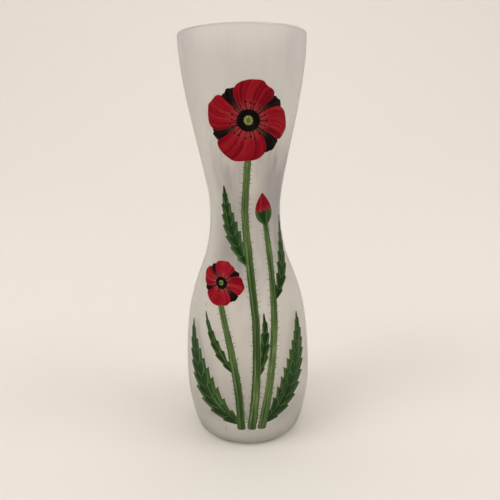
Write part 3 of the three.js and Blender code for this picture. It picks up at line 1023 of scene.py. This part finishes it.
def bud_place(reach, v):
    swell = math.sin(math.pi * (reach / BUD_LENGTH) ** BUD_POWER)
    out = (2 * v - 1) * (POINT_WIDTH + BUD_WIDTH / 2 * abs(swell))
    at = bud_foot + bud_way * reach
    return at.x + bud_way.y * out, at.y - bud_way.x * out


tip_from = BUD_CUP_LENGTH - STEM_TUCK
tip = lay(
    "bud_petals_paint", *BUD_GRID, lambda u, v: bud_place(mix(tip_from, BUD_LENGTH, u), v),
    BUD_LENGTH - tip_from, BUD_WIDTH, BUD_COAT,
)
coat_piece(tip, red, "bud_petals")


def cup_place(u, v):
    lobes = 0.9 + 0.16 * abs(math.sin(CUP_LOBES * math.pi * v))
    return bud_place(u * BUD_CUP_LENGTH * lobes, v)


cup = lay("bud_cup_paint", *CUP_GRID, cup_place, BUD_CUP_LENGTH, BUD_WIDTH, CUP_COAT)
coat_piece(cup, leaf_green, "bud_cup")
print("bud:", round(BUD_LENGTH / MM), "mm long")

# %% [markdown]
# ## Blooms
#
# A bloom is painted from the back to the front: the dark shades first, then the four petals,
# each with strokes that run out from the heart, and last the heart with its stamens and the
# pale pistil. A grid that is bent round the heart has its rows across a petal and its columns
# along it, so the marks of the brush fan out as they do on the real thing.

# %% Places in a bloom
PETAL_CORNER = 0.2       # how far a petal's corners are rounded off, as a share of its reach
SHADE_CORNER = 0.12      # the same for a shade
PETAL_POWER = 0.55       # below 1, so that a petal is blunt
PETAL_CRINKLE = 0.022    # how far its edge strays, as a share of its reach


def bloom_place(bloom, out, bearing):
    return (
        bloom["across"] + out * math.cos(bearing),
        bloom["height"] + BLOOM_SQUASH * out * math.sin(bearing),
    )


def slice_place(bloom, start, end, reach, seed, corner=PETAL_CORNER):
    """Places in one slice of a bloom. Both bearings may change from the heart outwards."""
    inner = bloom["radius"] * HEART_SHARE * 0.9

    def spot(u, v):
        crinkle = PETAL_CRINKLE * noise.noise(Vector((v * 5, seed, 0)))
        ruffle = PETAL_RUFFLE * math.sin(5 * math.pi * v)
        swell = 1 - corner + corner * math.sin(math.pi * v) ** PETAL_POWER + ruffle + crinkle
        out = mix(inner, bloom["radius"] * reach * swell, u)
        far = (out - inner) / (bloom["radius"] - inner)
        lean = PETAL_LEAN * math.sin(math.pi * far)
        return bloom_place(bloom, out, math.radians(mix(end(far), start(far), v)) + lean)

    return spot


def disc_place(bloom, radius, centre_out=0.0, bearing=0.0):
    """Places in a round patch, which may lie out from the heart at a bearing."""
    across, height = bloom_place(bloom, centre_out, bearing)

    def spot(u, v):
        turn = math.pi * mix(0.03, 0.97, u)
        out = (2 * v - 1) * radius * math.sin(turn)
        return across + out, height - BLOOM_SQUASH * radius * math.cos(turn)

    return spot


# %% Paint the petals
SHADE_UNDER = 3          # degrees that a shade runs on under the petals beside it
SHADE_GRID = (28, 20)
SHADE_COAT = 1
PETAL_GRID = (40, 56)
PETAL_COAT = 3
MIDDLE_SHARE = 0.65      # how far out the width of a petal is measured


def paint_petal(name, bloom, way, petal):
    turn = petal["to"] - petal["from"]
    length = bloom["radius"] * (1 - HEART_SHARE)
    width = math.radians(turn) * bloom["radius"] * MIDDLE_SHARE

    def shade_from(far):
        return petal["to"] - turn * SHADE_SHARE * (0.3 + 0.7 * far)

    shade = lay(
        f"{name}_shade_{way}_paint", *SHADE_GRID,
        slice_place(bloom, lambda far: shade_from(far) - SHADE_UNDER,
                    lambda far: petal["to"] + SHADE_UNDER, petal["reach"] * SHADE_REACH,
                    petal["from"], corner=SHADE_CORNER),
        length, width * SHADE_SHARE, SHADE_COAT,
    )
    coat_piece(shade, shade_black, f"{name}_shade_{way}")
    film = lay(
        f"{name}_petal_{way}_paint", *PETAL_GRID,
        slice_place(bloom, lambda far: petal["from"], shade_from, petal["reach"], petal["to"]),
        length, width, PETAL_COAT,
    )
    coat_piece(film, red, f"{name}_petal_{way}")


for name, bloom in blooms.items():
    for way, petal in petals.items():
        paint_petal(name, bloom, way, petal)
    print(f"{name} bloom:", len(petals), "petals")

# %% Paint the hearts
STAMEN_WIDTH = 0.42 * MM
ANTHER_RADIUS = 0.62 * MM
ANTHER_GRID = (5, 5)
STAMENS_PER_MM = 0.5     # round the edge of the heart
HEART_GRID = (30, 30)
HEART_COAT = 4
PISTIL_GRID = (16, 16)
PISTIL_COAT = 5
PISTIL_RAYS = 9
RAY_WIDTH = 0.34 * MM

for name, bloom in blooms.items():
    radius = bloom["radius"] * HEART_SHARE
    heart = lay(
        f"{name}_heart_paint", *HEART_GRID, disc_place(bloom, radius), radius * 2, radius * 2,
        HEART_COAT,
    )
    coat_piece(heart, black, f"{name}_heart")

    strokes = []
    count = round(2 * math.pi * radius / MM * STAMENS_PER_MM)
    for step in range(count):
        bearing = 2 * math.pi * (step + chance.uniform(-0.25, 0.25)) / count
        reach = radius * chance.uniform(1.38, 1.72)
        start = Vector(bloom_place(bloom, radius * 0.9, bearing))
        end = Vector(bloom_place(bloom, reach, bearing + chance.uniform(-0.06, 0.06)))
        strokes.append(dash(start, end, STAMEN_WIDTH, PETAL_COAT + OVER, blunt=1.0))
        size = ANTHER_RADIUS * chance.uniform(0.75, 1.1) * (bloom["radius"] / UPPER_BLOOM_RADIUS) ** 0.5
        strokes.append(lay(
            "anther", *ANTHER_GRID, disc_place(bloom, size, reach, bearing), size * 2, size * 2,
            PETAL_COAT + OVER,
        ))
    fine_piece(f"{name}_stamens", strokes, black)

    inner = radius * PISTIL_SHARE
    pistil = lay(
        f"{name}_pistil_paint", *PISTIL_GRID, disc_place(bloom, inner), inner * 2, inner * 2,
        PISTIL_COAT,
    )
    coat_piece(pistil, lime, f"{name}_pistil")
    rays = []
    for step in range(PISTIL_RAYS):
        bearing = 2 * math.pi * step / PISTIL_RAYS + 0.2
        start = Vector(bloom_place(bloom, inner * 0.12, bearing))
        end = Vector(bloom_place(bloom, inner * 0.95, bearing))
        rays.append(dash(start, end, RAY_WIDTH, PISTIL_COAT + OVER, blunt=0.6))
    fine_piece(f"{name}_rays", rays, dark_green)
    print(f"{name} bloom:", count, "stamens,", len(rays), "rays")

# %% [markdown]
# ## Stage
#
# The vase stands on a wide, shallow bowl of one pale colour, which is a turned shape too. Its
# floor is flat where the vase stands, and swings up into a wall far behind it, so no edge shows
# there. It goes all the way round, so the vase has the same quiet ground from every side. A
# transmitting glass takes much of its colour from what is behind it, so this colour counts for
# the look of the glass as well.

# %% Stage
STAGE_FLAT = 1.1
STAGE_RADIUS = 4
STAGE_WALL = 2.2
STAGE_HEIGHT = 3.5
STAGE_TURNS = 96
STAGE_COLOUR = (0.688, 0.652, 0.608, 1)

stage = spin_outline("stage", [
    knot(0, 0, after=(0.1, 0)),
    knot(STAGE_FLAT, 0, (-0.1, 0), (1.6, 0)),
    knot(STAGE_RADIUS, STAGE_WALL, (0, -1.4), (0, 0.2)),
    knot(STAGE_RADIUS, STAGE_HEIGHT, (0, -0.2)),
], STAGE_TURNS, inside=True)
stage_paint, tree, bsdf = new_material("stage")
bsdf.inputs["Base Color"].default_value = STAGE_COLOUR
bsdf.inputs["Roughness"].default_value = 0.85
stage.data.materials.append(stage_paint)
print("stage:", 2 * STAGE_RADIUS, "m across")

# %% [markdown]
# ## Lights
#
# The light is soft and plain: a bright world all round, a wide lamp high on the left, a weaker
# one high on the right, and one that only brightens the wall behind. Frosted glass has no mirror
# highlights, so the shape of the vase has to be told by slow changes from light to dark, and
# wide lamps far away give these. They hang high, so that no pool of light lies on the floor
# below them. The camera doesn't see the lamps themselves.


# %% Lights
def lamp(name, at, aim, size, power):
    data = bpy.data.lights.new(name, "AREA")
    data.shape = "DISK"
    data.size = size
    data.energy = power
    made = bpy.data.objects.new(name, data)
    bpy.context.scene.collection.objects.link(made)
    made.location = at
    made.rotation_euler = (Vector(aim) - Vector(at)).to_track_quat("-Z", "Y").to_euler()
    made.visible_camera = False


lamp("key", (-1.6, -0.9, 2.4), (0, 0, 0.1), 1.4, 22)
lamp("fill", (1.7, -0.5, 2.3), (0, 0, 0.1), 1.4, 14.5)
lamp("backdrop", (0, 1.6, 2.6), (0, 4, 1.2), 1.5, 12)

world = bpy.data.worlds.new("studio")
world.use_nodes = True
world.node_tree.nodes["Background"].inputs["Color"].default_value = (1.0, 0.985, 0.96, 1)
world.node_tree.nodes["Background"].inputs["Strength"].default_value = 1.12
bpy.context.scene.world = world

# %% [markdown]
# ## Camera
#
# The camera stands close to the vase, a little below its rim, and looks down by some 14
# degrees, so the mouth is seen almost edge on and the foot from above. A lens this wide and
# this close makes the rim look larger than the foot. That belongs to the view, not to the
# vase.

# %% Camera
PITCH = math.radians(14.46)
ROLL = math.radians(0.93)
camera_data = bpy.data.cameras.new("camera")
camera = bpy.data.objects.new("camera", camera_data)
bpy.context.scene.collection.objects.link(camera)
camera_data.sensor_width = 36
camera_data.lens = 36
camera_data.clip_start = 0.01
camera.location = (2.66 * MM, -312.6 * MM, 200.8 * MM)
tilt = Matrix.Rotation(math.radians(90) - PITCH, 3, "X") @ Matrix.Rotation(-ROLL, 3, "Z")
camera.rotation_euler = tilt.to_euler()
bpy.context.scene.camera = camera
bpy.context.scene.view_settings.view_transform = "Standard"
print("lights:", len(bpy.data.lights), " lens:", camera_data.lens, "mm")
